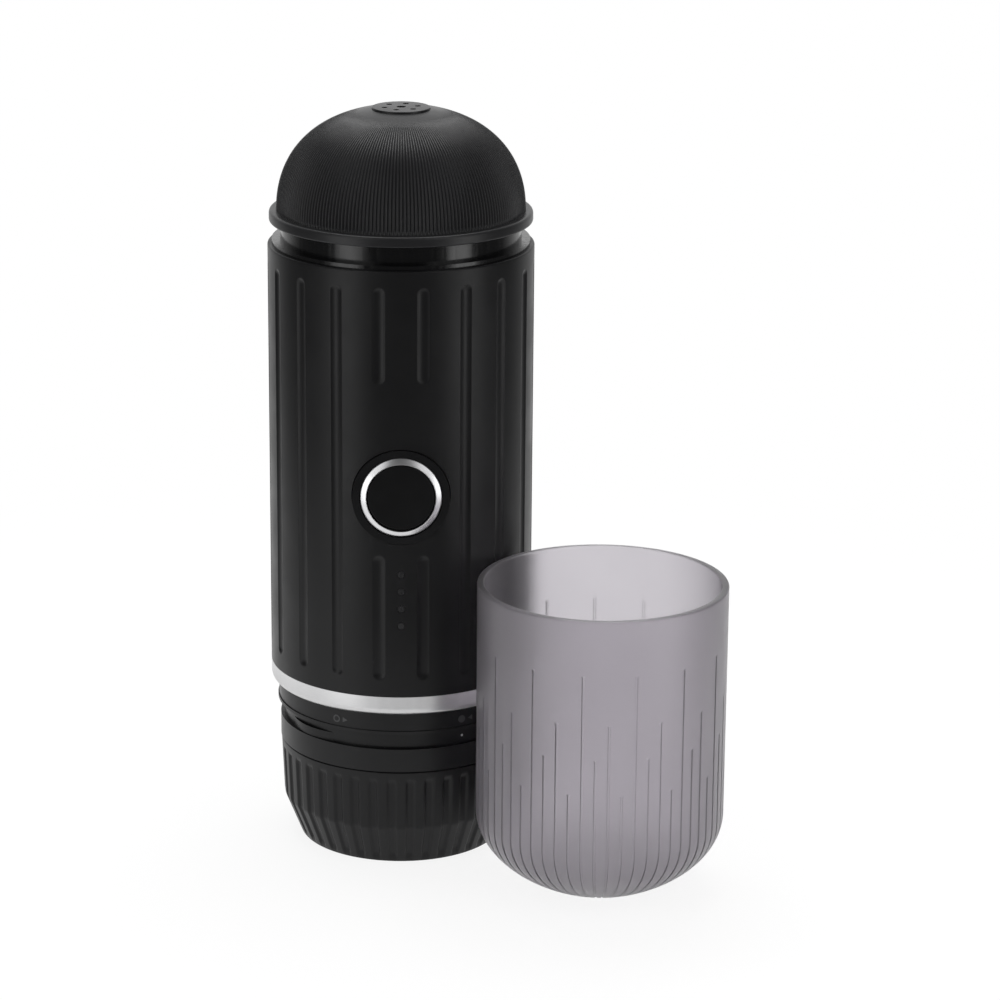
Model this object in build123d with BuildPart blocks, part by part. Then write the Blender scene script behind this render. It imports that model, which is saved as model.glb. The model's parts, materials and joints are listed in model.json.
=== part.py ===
from build123d import *
import os
from math import cos, radians, sin, sqrt

os.makedirs("parts", exist_ok=True)

# Portable coffee maker with a turn-off brew head, a lift-off tank lid and a loose drinking cup.
# Millimetres, +Z up, origin at the centre of the base, button towards -Y.

# Clearances
run_gap = 0.3          # between pieces that move against each other
fit_gap = 0.3          # between nested pieces that are fixed together
shaft_gap = 0.05       # radial clearance of the shaft in its bearings
screw_gap = 0.1

# Main outline: the shell's radius drives every other radius through the insets below
shell_radius = 37.4
shell_wall = 2.2
shell_height = 122.3
shell_edge = 0.7
band_height = 5.7
band_round = 2.2
band_foot_reach = 0.3
collar_inset = 2.1
collar_height = 6.1
ring_inset = 0.45
ring_height = 11.6
bowl_height = 29.2

# Stack of heights, from the base upwards
ring_bottom = bowl_height
ring_top = ring_bottom + ring_height
collar_bottom = ring_top + run_gap
band_bottom = collar_bottom + collar_height
shell_bottom = band_bottom + band_height
shell_top = shell_bottom + shell_height
shell_inner = shell_radius - shell_wall
collar_radius = shell_radius - collar_inset
ring_radius = collar_radius - ring_inset
band_foot_radius = collar_radius + band_foot_reach
spigot_radius = shell_inner - fit_gap
spigot_wall = 2.5
spigot_height = 4.0
spigot_bore = spigot_radius - spigot_wall
spigot_top = shell_bottom + spigot_height

# Bayonet, from the collar inwards
collar_wall = 2.3
collar_lip = 0.3
collar_lip_height = 0.9
lug_count = 3
lug_reach = 1.7
lug_height = 2.1
lug_arc = 40.0
entry_arc = 50.0
turn_to_open = 60.0
neck_wall = 2.5
ledge_gap = 0.4
ledge_height = 1.5
bayonet_bore = collar_radius - collar_wall
lug_radius = bayonet_bore - run_gap
neck_radius = lug_radius - lug_reach
neck_bore = neck_radius - neck_wall
ledge_bore = neck_radius + ledge_gap
lug_bottom = collar_bottom + ledge_height + run_gap
lug_top = lug_bottom + lug_height

# Collar plate with its screws, shower screen and gasket
plate_thickness = 3.0
plate_top = band_bottom + plate_thickness
water_recess = 1.0
water_recess_radius = 20.0
screw_radius = 1.4
screw_head_radius = 2.6
screw_head = 1.8
screw_count = 3
screw_margin = 1.4
screw_tip_margin = 1.0
screw_ring_radius = water_recess_radius + screw_head_radius + screw_margin
screw_slot = screw_head_radius / 4
gasket_overlap = 0.5
gasket_inner = neck_bore - gasket_overlap
gasket_bottom = lug_top + run_gap
screen_thickness = 1.0
screen_hole_radius = 0.8
screen_ring_pitch = 6.0
screen_ring_count = 3
screen_first_holes = 7

# Portafilter ring with its recess and tab
recess_inset = 1.2
recess_height = 4.5
recess_radius = ring_radius - recess_inset
tab_turn = -50.0
tab_curve_radius = 20.0
tab_rise = 0.9
tab_height = 2.6
seam_depth = 0.9
seam_height = 0.35
ring_skirt_depth = 5.0
ring_skirt_wall = 1.7
ring_skirt_root = 2.0
ring_skirt_gap = 0.4

# Grip bowl
bowl_rim_inset = 0.15
bowl_cone_inset = 0.75
bowl_foot_inset = 5.6
bowl_cone_top = 12.0
bowl_wall = 2.4
bowl_floor = 2.5
bowl_rim_radius = ring_radius - bowl_rim_inset
bowl_cone_radius = bowl_rim_radius - bowl_cone_inset
bowl_foot_radius = bowl_rim_radius - bowl_foot_inset
bowl_inner_rim = bowl_rim_radius - bowl_wall
grip_count = 40
grip_depth = 0.6
grip_arc = 2.6
grip_top_margin = 2.0
grip_foot_margin = 1.2
grip_overcut = 1.0

# Capsule holder
holder_shelf_thickness = 3.0
holder_flange = 2.0
holder_seat = 0.5
holder_radius = 17.0
holder_wall = 1.7
holder_bottom = 16.0
outlet_radius = 3.0
outlet_bore = 1.8
outlet_spread = 16.0
outlet_flange_radius = 13.0
outlet_flange = 1.5
outlet_recess = 0.6
mesh_thickness = 0.5
mesh_ring_pitch = 3.0
mesh_ring_count = 4
mesh_first_holes = 6

# Inner chassis, and the cells round the pump
chassis_floor = 3.0
socket_boss = 3.8
shelf_rise = 9.8
shelf_thickness = 2.0
chassis_radius = spigot_bore - fit_gap
cell_radius = 9.2
cell_length = 65.0
cell_count = 3
cell_gap = 0.8
pump_radius = 12.0
cell_tip_radius = 3.0
cell_tip = 0.8
cell_ring_radius = pump_radius + cell_gap + cell_radius
chassis_top = 2.5
post_width = 5.0
post_depth = 4.0
post_spread = 19.0
rear_post_radius = 3.0
rear_post_margin = 1.6
rear_post_angle = 50.0
rear_post_ring_radius = chassis_radius - rear_post_radius - rear_post_margin
floor_top = plate_top + chassis_floor
shelf_bottom = floor_top + shelf_rise
shelf_top = shelf_bottom + shelf_thickness
cells_top = shelf_top + cell_length
chassis_upper = cells_top + chassis_top

# Button and lights on the front, below the cells' top
button_drop = 18.6
button_height = cells_top - button_drop
bezel_radius = 13.5
bezel_reach = 0.3
bezel_gap = 0.2
bezel_face = shell_radius + bezel_reach
ring_outer_radius = 11.4
ring_reach = 0.9
ring_depth = 3.2
ring_chamfer = 0.35
ring_face = shell_radius + ring_reach
cap_radius = 9.3
cap_reach = 0.4
cap_face = shell_radius + cap_reach
cap_flange_radius = 10.35
cap_flange = 1.0
cap_lip = 0.7
cap_edge = 0.4
button_travel = 1.0
stem_radius = 2.0
light_count = 4
light_radius = 0.95
light_pitch = 5.0
light_drop = 37.4
light_height = button_height - light_drop
light_inset = 0.05
guide_width = 3.2
guide_thickness = 1.1
guide_margin = 2.5

# Shell grooves
groove_count = 19
groove_pitch = 360.0 / groove_count
groove_width = 3.6
groove_depth = 0.5
groove_foot_margin = 5.2
groove_head_margin = 4.6
groove_stop_below = 17.0
groove_start_above = 32.2
groove_foot = shell_bottom + groove_foot_margin
groove_head = shell_top - groove_head_margin
short_groove_top = button_height - groove_stop_below
short_groove_foot = button_height + groove_start_above

# Control board behind the button
board_inset = 9.5
board_thickness = 1.6
board_width = 24.0
board_head = 12.0
board_front = shell_radius - board_inset
board_length = button_height + board_head - shelf_top
led_size = 1.6
led_height = 1.0
switch_size = 6.0
switch_height = 2.0
switch_plunger = 0.5

# Pump between the cells
pump_head_length = 24.0
motor_headroom = 6.0
motor_length = cell_length - pump_head_length - motor_headroom
motor_wall = 2.5
motor_end = 3.0
shaft_radius = 1.5
chamber_radius = 6.2
chamber_depth = 15.0
bearing_depth = 4.0
eccentric_radius = 4.5
eccentric_offset = 1.2
eccentric_height = 7.0
motor_bottom = shelf_top + pump_head_length
motor_top = motor_bottom + motor_length

# Water tubes
tube_radius = 2.5
tube_bore = 1.5
tube_standoff = 7.0
tube_lead = 1.0
tube_angle = 30.0
inlet_rise = 6.0
inlet_boss_radius = 3.4
inlet_boss = 2.0
tube_ring_radius = pump_radius + tube_standoff
inlet_boss_end = pump_radius + inlet_boss
tube_bend_radius = tube_ring_radius - inlet_boss_end - tube_lead

# Charging socket at the back
socket_width = 9.0
socket_height = 3.2
socket_depth = 7.6
socket_wall = 0.35
socket_back_wall = 1.0
socket_inset = 0.6
socket_mouth = shell_radius - socket_inset
socket_board_width = 14.0
socket_board_depth = 12.0
socket_board = 1.0
socket_board_inset = 3.0
tongue_height = 0.7
tongue_inset = 1.0
port_margin = 0.6

# Tank, neck and lid
heater_thickness = 2.5
heater_inset = 2.0
tank_wall = 0.8
tank_flange = 1.5
tank_flange_width = 3.8
tank_gasket = 1.0
neck_plug = 2.2
tank_neck_inset = 3.6
tank_neck_height = 6.4
tank_neck_wall = 3.2
tank_neck_edge = 0.5
foot_bead_inset = 1.2
foot_bead = 1.2
lid_flange_inset = 0.45
lid_flange = 3.0
lid_flange_edge = 1.2
dome_inset = 2.05
dome_rise = 28.75
dome_fullness = 0.62
lid_wall = 2.0
skirt_gap = 0.4
skirt_wall = 2.0
skirt_depth = 7.6
seal_width = 1.0
seal_height = 2.0
seal_rise = 2.0
tank_flange_radius = spigot_radius
tank_radius = tank_flange_radius - tank_flange_width
heater_radius = tank_radius - heater_inset
tank_neck_radius = shell_radius - tank_neck_inset
tank_neck_bore = tank_neck_radius - tank_neck_wall
foot_bead_radius = shell_radius - foot_bead_inset
lid_flange_radius = shell_radius - lid_flange_inset
dome_radius = lid_flange_radius - dome_inset
skirt_radius = tank_neck_bore - skirt_gap
heater_top = chassis_upper + heater_thickness
tank_bottom = heater_top
neck_bottom = shell_top - neck_plug
tank_top = neck_bottom - tank_gasket
neck_top = shell_top + tank_neck_height
lid_top = neck_top + lid_flange

# Vent disc on its flat seat at the dome's top
vent_seat_drop = 0.65
vent_plate = 0.65
vent_radius = 8.1
vent_stem_radius = 6.9
vent_stem = 2.2
vent_hole_radius = 0.75
vent_hole_ring_radius = 4.5
vent_hole_count = 5
vent_seat = lid_top + dome_rise - vent_seat_drop

# Drinking cup beside the shell
cup_angle = -39.8
cup_gap = 0.3
cup_radius = 34.7
cup_height = 89.9
cup_wall = 2.0
cup_flat_radius = 6.0
cup_corner = 23.5
cup_foot_handle = 0.15
cup_side_handle = 0.69
cup_distance = shell_radius + cup_radius + cup_gap
cup_x = cup_distance * cos(radians(cup_angle))
cup_y = cup_distance * sin(radians(cup_angle))


stand_up = (Align.CENTER, Align.CENTER, Align.MIN)
to_front = (90, 0, 0)
front = -90
rear = 90


def disc(radius, bottom, top, mode=Mode.ADD):
    """Add or cut a plain disc between two heights in the open part."""
    with Locations((0, 0, bottom)):
        Cylinder(radius, top - bottom, align=stand_up, mode=mode)


def tube(outer, inner, bottom, top, mode=Mode.ADD):
    """Add or cut a plain ring of the two radii between two heights in the open part."""
    solid = Cylinder(outer, top - bottom, align=stand_up, mode=Mode.PRIVATE)
    bore = Cylinder(inner, top - bottom, align=stand_up, mode=Mode.PRIVATE)
    with Locations((0, 0, bottom)):
        add(solid - bore, mode=mode)


def front_disc(radius, back, face, height, mode=Mode.ADD):
    """Add or cut a disc that faces the front, between two distances from the axis."""
    with Locations(Location((0, -back, height), to_front)):
        Cylinder(radius, face - back, align=stand_up, mode=mode)


def perforate(ring_count, ring_pitch, first_holes, radius, bottom, top):
    """Drill rings of holes through the open part, from the middle outwards."""
    for ring in range(1, ring_count + 1):
        with PolarLocations(ring * ring_pitch, ring * first_holes):
            with Locations((0, 0, bottom)):
                Cylinder(radius, top - bottom, align=stand_up, mode=Mode.SUBTRACT)


def export(part, name):
    """Label a finished piece and write its file."""
    part.part.label = name
    export_step(part.part, "parts/" + name + ".step")


# Groove cutters for the shell: long rounded bars that graze the surface
bar_radius = ((groove_width / 2) ** 2 + groove_depth ** 2) / (2 * groove_depth)
bar_end = sqrt(bar_radius ** 2 - (bar_radius - groove_depth) ** 2)


def groove_bar(foot, head):
    """Add one vertical bar whose cut reaches from foot to head on the shell's front."""
    bar_axis = (0, -(shell_radius - groove_depth + bar_radius))
    with Locations(bar_axis + (foot + bar_end,)):
        Cylinder(bar_radius, head - foot - 2 * bar_end, align=stand_up)
        Sphere(bar_radius)
    with Locations(bar_axis + (head - bar_end,)):
        Sphere(bar_radius)


with BuildPart() as long_groove:
    groove_bar(groove_foot, groove_head)
with BuildPart() as short_grooves:
    groove_bar(groove_foot, short_groove_top)
    groove_bar(short_groove_foot, groove_head)

# Outer shell
socket_level = floor_top + socket_boss + socket_board
port_level = socket_level + socket_height / 2
port_height = socket_height + 2 * port_margin
shell_outside = shell_radius + shell_wall
with BuildPart() as outer_shell:
    tube(shell_radius, shell_inner, shell_bottom, shell_top)
    fillet(outer_shell.edges().group_by(Axis.Z)[-1].sort_by(SortBy.RADIUS)[-1], shell_edge)
    for index in range(groove_count):
        angle = groove_pitch / 2 + index * groove_pitch
        beside_button = index in (0, groove_count - 1)
        cutter = short_grooves if beside_button else long_groove
        add(cutter.part, rotation=(0, 0, angle), mode=Mode.SUBTRACT)
    front_disc(bezel_radius + bezel_gap, 0, shell_outside, button_height, mode=Mode.SUBTRACT)
    for index in range(light_count):
        lamp_level = light_height + index * light_pitch
        front_disc(light_radius + screw_gap, 0, shell_outside, lamp_level, mode=Mode.SUBTRACT)
    with BuildSketch(Plane.XZ):
        with Locations((0, port_level)):
            SlotOverall(socket_width + 2 * port_margin, port_height)
    extrude(amount=-shell_outside, mode=Mode.SUBTRACT)
export(outer_shell, "outer_shell")

# Silver band under the shell
band_bore = spigot_radius + screw_gap
round_top = band_bottom + band_round
foot_slope = (1, 0.35)
with BuildPart() as trim_band:
    with BuildSketch(Plane.XZ):
        with BuildLine():
            Line((band_bore, band_bottom), (band_foot_radius, band_bottom))
            Spline((band_foot_radius, band_bottom), (shell_radius, round_top), tangents=(foot_slope, (0, 1)))
            Line((shell_radius, round_top), (shell_radius, shell_bottom))
            Line((shell_radius, shell_bottom), (band_bore, shell_bottom))
            Line((band_bore, shell_bottom), (band_bore, band_bottom))
        make_face()
    revolve(axis=Axis.Z)
export(trim_band, "trim_band")

# Collar that seats the brew head, with its bayonet ledges and the plate above them
with BuildPart() as brew_collar:
    tube(collar_radius, bayonet_bore, collar_bottom, band_bottom)
    tube(collar_radius + collar_lip, bayonet_bore, collar_bottom, collar_bottom + collar_lip_height)
    disc(spigot_radius, band_bottom, plate_top)
    tube(spigot_radius, spigot_bore, plate_top, spigot_top)
    disc(water_recess_radius, band_bottom, band_bottom + water_recess, mode=Mode.SUBTRACT)
    disc(tube_radius + screw_gap, band_bottom, plate_top, mode=Mode.SUBTRACT)
    tube(bayonet_bore + screw_gap, ledge_bore, collar_bottom, collar_bottom + ledge_height)
    for index in range(lug_count):
        middle = front - turn_to_open + index * 360 / lug_count
        with BuildSketch(Plane.XY.offset(collar_bottom)):
            with BuildLine():
                entry = CenterArc((0, 0), bayonet_bore, middle - entry_arc / 2, entry_arc)
                Line(entry @ 1, (0, 0))
                Line((0, 0), entry @ 0)
            make_face()
        extrude(amount=ledge_height, mode=Mode.SUBTRACT)
    with BuildSketch(Plane.XY.offset(band_bottom)):
        with PolarLocations(screw_ring_radius, screw_count, start_angle=rear):
            Circle(screw_radius + screw_gap)
    extrude(amount=plate_thickness, mode=Mode.SUBTRACT)
    with BuildSketch(Plane.XY.offset(band_bottom)):
        with PolarLocations(screw_ring_radius, screw_count, start_angle=rear):
            Circle(screw_head_radius + screw_gap)
    extrude(amount=screw_head, mode=Mode.SUBTRACT)
export(brew_collar, "brew_collar")

# Screws that hold the chassis to the collar
with BuildPart() as frame_screws:
    with BuildSketch(Plane.XY.offset(band_bottom)):
        with PolarLocations(screw_ring_radius, screw_count, start_angle=rear):
            Circle(screw_head_radius)
    extrude(amount=screw_head)
    with BuildSketch(Plane.XY.offset(band_bottom)):
        with PolarLocations(screw_ring_radius, screw_count, start_angle=rear):
            Circle(screw_radius)
    extrude(amount=plate_thickness + chassis_floor - screw_tip_margin)
    with BuildSketch(Plane.XY.offset(band_bottom)):
        with PolarLocations(screw_ring_radius, screw_count, start_angle=rear):
            Rectangle(screw_head_radius, screw_slot)
            Rectangle(screw_slot, screw_head_radius)
    extrude(amount=screw_head / 2, mode=Mode.SUBTRACT)
export(frame_screws, "frame_screws")

# Shower screen and brew gasket under the collar's plate
screen_bottom = band_bottom - screen_thickness
with BuildPart() as shower_screen:
    disc(gasket_inner - run_gap, screen_bottom, band_bottom)
    perforate(screen_ring_count, screen_ring_pitch, screen_first_holes, screen_hole_radius,
              screen_bottom, band_bottom)
export(shower_screen, "shower_screen")

with BuildPart() as brew_gasket:
    tube(neck_radius + run_gap, gasket_inner, gasket_bottom, band_bottom)
export(brew_gasket, "brew_gasket")

# Portafilter ring: the smooth band, the recessed band with its tab, and the bayonet neck
shelf_level = lug_top - holder_flange - holder_seat
holder_shelf = shelf_level - holder_shelf_thickness
recess_bottom = ring_top - recess_height
ring_skirt_radius = bowl_inner_rim - ring_skirt_gap
tab_direction = radians(front + tab_turn)
tab_distance = recess_radius + tab_rise - tab_curve_radius
with BuildPart() as portafilter_ring:
    with Locations((tab_distance * cos(tab_direction), tab_distance * sin(tab_direction), recess_bottom)):
        Cylinder(tab_curve_radius, tab_height, align=stand_up)
    disc(neck_bore, recess_bottom, ring_top, mode=Mode.SUBTRACT)
    tube(ring_radius, neck_bore, ring_bottom, recess_bottom)
    tube(recess_radius, neck_bore, recess_bottom, ring_top)
    tube(neck_radius, neck_bore, recess_bottom, lug_top)
    tube(neck_bore + neck_wall / 2, holder_radius + fit_gap, holder_shelf, shelf_level)
    tube(ring_skirt_radius, ring_skirt_radius - ring_skirt_wall, ring_bottom - ring_skirt_depth,
         ring_bottom + ring_skirt_root)
    tube(ring_radius + seam_depth, ring_radius - seam_depth, ring_bottom, ring_bottom + seam_height,
         mode=Mode.SUBTRACT)
    for index in range(lug_count):
        middle = front + index * 360 / lug_count
        with BuildSketch(Plane.XY.offset(lug_bottom)):
            with BuildLine():
                outer = CenterArc((0, 0), lug_radius, middle - lug_arc / 2, lug_arc)
                inner = CenterArc((0, 0), neck_bore + neck_wall / 2, middle - lug_arc / 2, lug_arc)
                Line(outer @ 0, inner @ 0)
                Line(outer @ 1, inner @ 1)
            make_face()
        extrude(amount=lug_height)
export(portafilter_ring, "portafilter_ring")

# Grip bowl under the ring, with its grooves
bowl_top = ring_bottom
groove_low = grip_foot_margin
groove_high = bowl_top - grip_top_margin
groove_outside = bowl_rim_radius + grip_overcut
with BuildPart() as plain_bowl:
    with BuildSketch(Plane.XZ):
        with BuildLine():
            Polyline(
                (0, 0),
                (bowl_foot_radius, 0),
                (bowl_cone_radius, bowl_cone_top),
                (bowl_rim_radius, bowl_top),
                (bowl_inner_rim, bowl_top),
                (bowl_cone_radius - bowl_wall, bowl_cone_top),
                (bowl_foot_radius - bowl_wall, bowl_floor),
                (0, bowl_floor),
                close=True,
            )
        make_face()
    revolve(axis=Axis.Z)
    with BuildSketch(Plane.XY):
        with GridLocations(outlet_spread, 0, 2, 1):
            Circle(outlet_radius + fit_gap)
    extrude(amount=bowl_floor, mode=Mode.SUBTRACT)
with BuildPart() as grip_groove:
    with BuildSketch(Plane.XZ.rotated((0, 0, -grip_arc / 2))):
        with BuildLine():
            Polyline(
                (bowl_foot_radius - grip_depth, groove_low),
                (groove_outside, groove_low),
                (groove_outside, groove_high),
                (bowl_rim_radius - grip_depth / 2, groove_high),
                (bowl_cone_radius - grip_depth, bowl_cone_top),
                close=True,
            )
        make_face()
    revolve(axis=Axis.Z, revolution_arc=grip_arc)
with BuildPart() as grip_bowl:
    add(plain_bowl.part)
    with PolarLocations(0, grip_count):
        add(grip_groove.part, mode=Mode.SUBTRACT)
export(grip_bowl, "grip_bowl")

# Capsule holder, its filter mesh and the twin outlet spout
mesh_level = holder_bottom + holder_wall
holder_top = shelf_level + holder_flange
with BuildPart() as capsule_holder:
    disc(neck_bore - fit_gap, shelf_level, holder_top)
    disc(holder_radius, holder_bottom, shelf_level)
    disc(holder_radius - holder_wall, mesh_level, holder_top, mode=Mode.SUBTRACT)
    with BuildSketch(Plane.XY.offset(holder_bottom)):
        with GridLocations(outlet_spread, 0, 2, 1):
            Circle(outlet_bore)
    extrude(amount=holder_wall, mode=Mode.SUBTRACT)
export(capsule_holder, "capsule_holder")

with BuildPart() as filter_screen:
    disc(holder_radius - holder_wall - screw_gap, mesh_level, mesh_level + mesh_thickness)
    perforate(mesh_ring_count, mesh_ring_pitch, mesh_first_holes, mesh_thickness / 2, mesh_level,
              mesh_level + mesh_thickness)
export(filter_screen, "filter_screen")

with BuildPart() as coffee_outlet:
    disc(outlet_flange_radius, holder_bottom - outlet_flange, holder_bottom)
    with BuildSketch(Plane.XY.offset(outlet_recess)):
        with GridLocations(outlet_spread, 0, 2, 1):
            Circle(outlet_radius)
    extrude(amount=holder_bottom - outlet_flange - outlet_recess)
    with BuildSketch(Plane.XY.offset(outlet_recess)):
        with GridLocations(outlet_spread, 0, 2, 1):
            Circle(outlet_bore)
    extrude(amount=holder_bottom - outlet_recess, mode=Mode.SUBTRACT)
export(coffee_outlet, "coffee_outlet")

# Button bezel, bright ring and cap
ring_seat = ring_face - ring_depth
lip_back = ring_seat - cap_lip
cap_flange_face = lip_back - run_gap
cap_flange_back = cap_flange_face - cap_flange
with BuildPart() as button_bezel:
    front_disc(bezel_radius, board_front, bezel_face, button_height)
    front_disc(ring_outer_radius + screw_gap, ring_seat, bezel_face, button_height, mode=Mode.SUBTRACT)
    front_disc(cap_radius + run_gap, board_front, bezel_face, button_height, mode=Mode.SUBTRACT)
    front_disc(cap_flange_radius + run_gap, board_front, lip_back, button_height, mode=Mode.SUBTRACT)
export(button_bezel, "button_bezel")

with BuildPart() as button_ring:
    front_disc(ring_outer_radius, ring_seat, ring_face, button_height)
    front_disc(cap_radius + run_gap, ring_seat, ring_face, button_height, mode=Mode.SUBTRACT)
    chamfer(button_ring.edges().filter_by(GeomType.CIRCLE).group_by(Axis.Y)[0], ring_chamfer)
export(button_ring, "button_ring")

switch_face = board_front + switch_height
plunger_face = switch_face + switch_plunger
stem_end = plunger_face + button_travel + run_gap
with BuildPart() as button_cap:
    front_disc(cap_radius, cap_flange_back, cap_face, button_height)
    front_disc(cap_flange_radius, cap_flange_back, cap_flange_face, button_height)
    front_disc(stem_radius, stem_end, cap_flange_face, button_height)
    fillet(button_cap.edges().filter_by(GeomType.CIRCLE).group_by(Axis.Y)[0], cap_edge)
export(button_cap, "button_cap")

# Light guide behind the four small windows, and the lamps on the board
guide_front = sqrt(shell_inner ** 2 - (guide_width / 2) ** 2) - screw_gap
guide_back = guide_front - guide_thickness
guide_length = (light_count - 1) * light_pitch + 2 * guide_margin
guide_middle = light_height + (light_count - 1) * light_pitch / 2
with BuildPart() as light_guide:
    with BuildSketch(Plane.XZ.offset(guide_back)):
        with Locations((0, guide_middle)):
            RectangleRounded(guide_width, guide_length, guide_width / 4)
    extrude(amount=guide_thickness)
    for index in range(light_count):
        lamp_level = light_height + index * light_pitch
        front_disc(light_radius, guide_back + guide_thickness / 2, shell_radius - light_inset, lamp_level)
export(light_guide, "light_guide")

with BuildPart() as indicator_leds:
    with BuildSketch(Plane.XZ.offset(board_front)):
        with Locations((0, light_height)):
            with GridLocations(1, light_pitch, 1, light_count, align=(Align.CENTER, Align.MIN)):
                Rectangle(led_size, led_size)
    extrude(amount=led_height)
export(indicator_leds, "indicator_leds")

# Control board with its switch
board_back = board_front - board_thickness
with BuildPart() as control_board:
    with BuildSketch(Plane.XZ.offset(board_back)):
        with Locations((0, shelf_top)):
            Rectangle(board_width, board_length, align=(Align.CENTER, Align.MIN))
    extrude(amount=board_thickness)
export(control_board, "control_board")

with BuildPart() as board_switch:
    with BuildSketch(Plane.XZ.offset(board_front)):
        with Locations((0, button_height)):
            Rectangle(switch_size, switch_size)
    extrude(amount=switch_height)
    front_disc(switch_size / 4, switch_face - switch_height / 2, plunger_face, button_height)
export(board_switch, "board_switch")

# Inner chassis: floor with the socket's boss, shelf, posts and top
port_back = socket_mouth - socket_depth
socket_board_rear = socket_mouth - socket_board_inset
socket_board_edge = socket_board_rear - socket_board_depth
boss_depth = socket_board_depth - socket_board_inset
boss_top = floor_top + socket_boss
rear_post_spread = 180 - 2 * rear_post_angle
with BuildPart() as chassis:
    disc(chassis_radius, plate_top, floor_top)
    disc(chassis_radius, shelf_bottom, shelf_top)
    disc(tank_radius, cells_top, chassis_upper)
    with BuildSketch(Plane.XY.offset(floor_top)):
        with Locations((0, socket_board_edge)):
            Rectangle(socket_board_width, boss_depth, align=(Align.CENTER, Align.MIN))
    extrude(amount=socket_boss)
    with BuildSketch(Plane.XY.offset(floor_top)):
        with Locations((0, -board_back)):
            with GridLocations(post_spread, 0, 2, 1):
                Rectangle(post_width, post_depth, align=(Align.CENTER, Align.MIN))
        with PolarLocations(rear_post_ring_radius, 2, start_angle=rear_post_angle,
                            angular_range=rear_post_spread, endpoint=True):
            Circle(rear_post_radius)
    extrude(amount=cells_top - floor_top)
    disc(tube_radius + screw_gap, plate_top, shelf_top, mode=Mode.SUBTRACT)
    with BuildSketch(Plane.XY.offset(cells_top)):
        with PolarLocations(tube_ring_radius, 1, start_angle=tube_angle):
            Circle(tube_radius + screw_gap)
    extrude(amount=chassis_top, mode=Mode.SUBTRACT)
    with BuildSketch(Plane.XY.offset(plate_top)):
        with PolarLocations(screw_ring_radius, screw_count, start_angle=rear):
            Circle(screw_radius + screw_gap)
    extrude(amount=chassis_floor, mode=Mode.SUBTRACT)
export(chassis, "chassis")

# Battery cells
tip_level = cells_top - cell_tip
with BuildPart() as battery_cells:
    with PolarLocations(cell_ring_radius, cell_count, start_angle=rear):
        with Locations((0, 0, shelf_top)):
            Cylinder(cell_radius, cell_length - cell_tip, align=stand_up)
        with Locations((0, 0, tip_level)):
            Cylinder(cell_tip_radius, cell_tip, align=stand_up)
export(battery_cells, "battery_cells")

# Pump head, motor, shaft and eccentric
chamber_floor = motor_bottom - chamber_depth
shaft_bottom = chamber_floor - bearing_depth
inlet_level = shelf_top + inlet_rise
inlet_direction = (cos(radians(tube_angle)), sin(radians(tube_angle)), 0)
inlet_plane = Plane(origin=(0, 0, inlet_level), z_dir=inlet_direction)
with BuildPart() as pump_head:
    disc(pump_radius, shelf_top, motor_bottom)
    with BuildSketch(inlet_plane):
        Circle(inlet_boss_radius)
    extrude(amount=inlet_boss_end)
    disc(chamber_radius, chamber_floor, motor_bottom, mode=Mode.SUBTRACT)
    disc(shaft_radius + shaft_gap, shaft_bottom, motor_bottom, mode=Mode.SUBTRACT)
    with BuildSketch(inlet_plane):
        Circle(tube_bore)
    extrude(amount=inlet_boss_end, mode=Mode.SUBTRACT)
    disc(tube_bore, shelf_top, inlet_level, mode=Mode.SUBTRACT)
export(pump_head, "pump_head")

rotor_bottom = motor_bottom + motor_end
rotor_top = motor_top - motor_end
rotor_space = pump_radius - motor_wall
with BuildPart() as pump_motor:
    disc(pump_radius, motor_bottom, motor_top)
    disc(rotor_space, rotor_bottom, rotor_top, mode=Mode.SUBTRACT)
    disc(shaft_radius + shaft_gap, motor_bottom, motor_top, mode=Mode.SUBTRACT)
export(pump_motor, "pump_motor")

with BuildPart() as motor_shaft:
    disc(shaft_radius, shaft_bottom + run_gap, motor_top - run_gap)
export(motor_shaft, "motor_shaft")

with BuildPart() as motor_rotor:
    tube(rotor_space - 2 * run_gap, shaft_radius + shaft_gap, rotor_bottom + run_gap, rotor_top - run_gap)
export(motor_rotor, "motor_rotor")

eccentric_bottom = chamber_floor + (chamber_depth - eccentric_height) / 2
with BuildPart() as pump_eccentric:
    with Locations((eccentric_offset, 0, eccentric_bottom)):
        Cylinder(eccentric_radius, eccentric_height, align=stand_up)
    disc(shaft_radius + shaft_gap, eccentric_bottom, eccentric_bottom + eccentric_height, mode=Mode.SUBTRACT)
export(pump_eccentric, "pump_eccentric")

# Water tubes: from the tank down to the pump, and from the pump down to the shower screen
tube_x = tube_ring_radius * cos(radians(tube_angle))
tube_y = tube_ring_radius * sin(radians(tube_angle))
boss_x = inlet_boss_end * cos(radians(tube_angle))
boss_y = inlet_boss_end * sin(radians(tube_angle))
with BuildPart() as inlet_tube:
    with BuildLine() as inlet_path:
        FilletPolyline(
            (tube_x, tube_y, tank_bottom),
            (tube_x, tube_y, inlet_level),
            (boss_x, boss_y, inlet_level),
            radius=tube_bend_radius,
        )
    with BuildSketch(Plane.XY.offset(tank_bottom)):
        with Locations((tube_x, tube_y)):
            Circle(tube_radius)
            Circle(tube_bore, mode=Mode.SUBTRACT)
    sweep(path=inlet_path.wires()[0])
export(inlet_tube, "inlet_tube")

with BuildPart() as outlet_tube:
    tube(tube_radius, tube_bore, band_bottom + water_recess, shelf_top)
export(outlet_tube, "outlet_tube")

# Charging socket on its own small board
with BuildPart() as socket_board_plate:
    with BuildSketch(Plane.XY.offset(boss_top)):
        with Locations((0, socket_board_edge)):
            Rectangle(socket_board_width, socket_board_depth, align=(Align.CENTER, Align.MIN))
    extrude(amount=socket_board)
export(socket_board_plate, "socket_board")

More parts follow.
